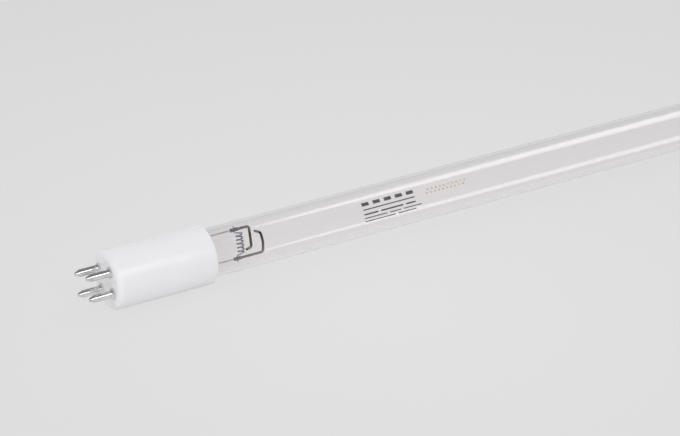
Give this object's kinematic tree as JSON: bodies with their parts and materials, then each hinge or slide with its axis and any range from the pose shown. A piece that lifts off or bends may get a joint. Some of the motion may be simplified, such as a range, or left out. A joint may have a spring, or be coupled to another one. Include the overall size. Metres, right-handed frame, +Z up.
{
  "type": "ultraviolet amalgam lamp",
  "caption": "Slender tubular quartz ultraviolet lamp with a white ceramic pin base, a plain ceramic cap at the far end, and coiled electrodes with bent guard wires in the clear tube.",
  "frame": {"origin": "centre of the pin face of the base, on the lamp's axis", "axes": "+X along the lamp from the base towards the far cap, pins towards -X; +Z up where the lamp lies, with the pin rectangle rolled 14 degrees about the axis as in the picture"},
  "size_m": [0.5577, 0.0182, 0.0182],
  "materials": {
    "quartz": "clear polished",
    "ceramic": "white glaze",
    "pin_plating": "bright nickel plate",
    "lead_wire": "drawn nickel",
    "guard_wire": "dark fired",
    "tungsten": "coated coil",
    "molybdenum": "rolled foil",
    "cement": "matt",
    "amalgam": "dull metallic"
  },
  "bodies": {
    "root": {"amalgam_spot": "amalgam", "base_cement": "cement", "cap_cement": "cement", "contact_pin_1": "pin_plating", "contact_pin_2": "pin_plating", "contact_pin_3": "pin_plating", "contact_pin_4": "pin_plating", "end_cap": "ceramic", "far_clamp_lower": "lead_wire", "far_clamp_upper": "lead_wire", "far_filament": "tungsten", "far_foil_lower": "molybdenum", "far_foil_upper": "molybdenum", "far_guard_lower": "guard_wire", "far_guard_upper": "guard_wire", "far_lead_lower": "lead_wire", "far_lead_upper": "lead_wire", "far_tail_lower": "lead_wire", "far_tail_upper": "lead_wire", "near_clamp_lower": "lead_wire", "near_clamp_upper": "lead_wire", "near_filament": "tungsten", "near_foil_lower": "molybdenum", "near_foil_upper": "molybdenum", "near_guard_lower": "guard_wire", "near_guard_upper": "guard_wire", "near_lead_lower": "lead_wire", "near_lead_upper": "lead_wire", "near_tail_lower": "lead_wire", "near_tail_upper": "lead_wire", "pin_base": "ceramic", "quartz_tube": "quartz"}
  },
  "joints": []
}
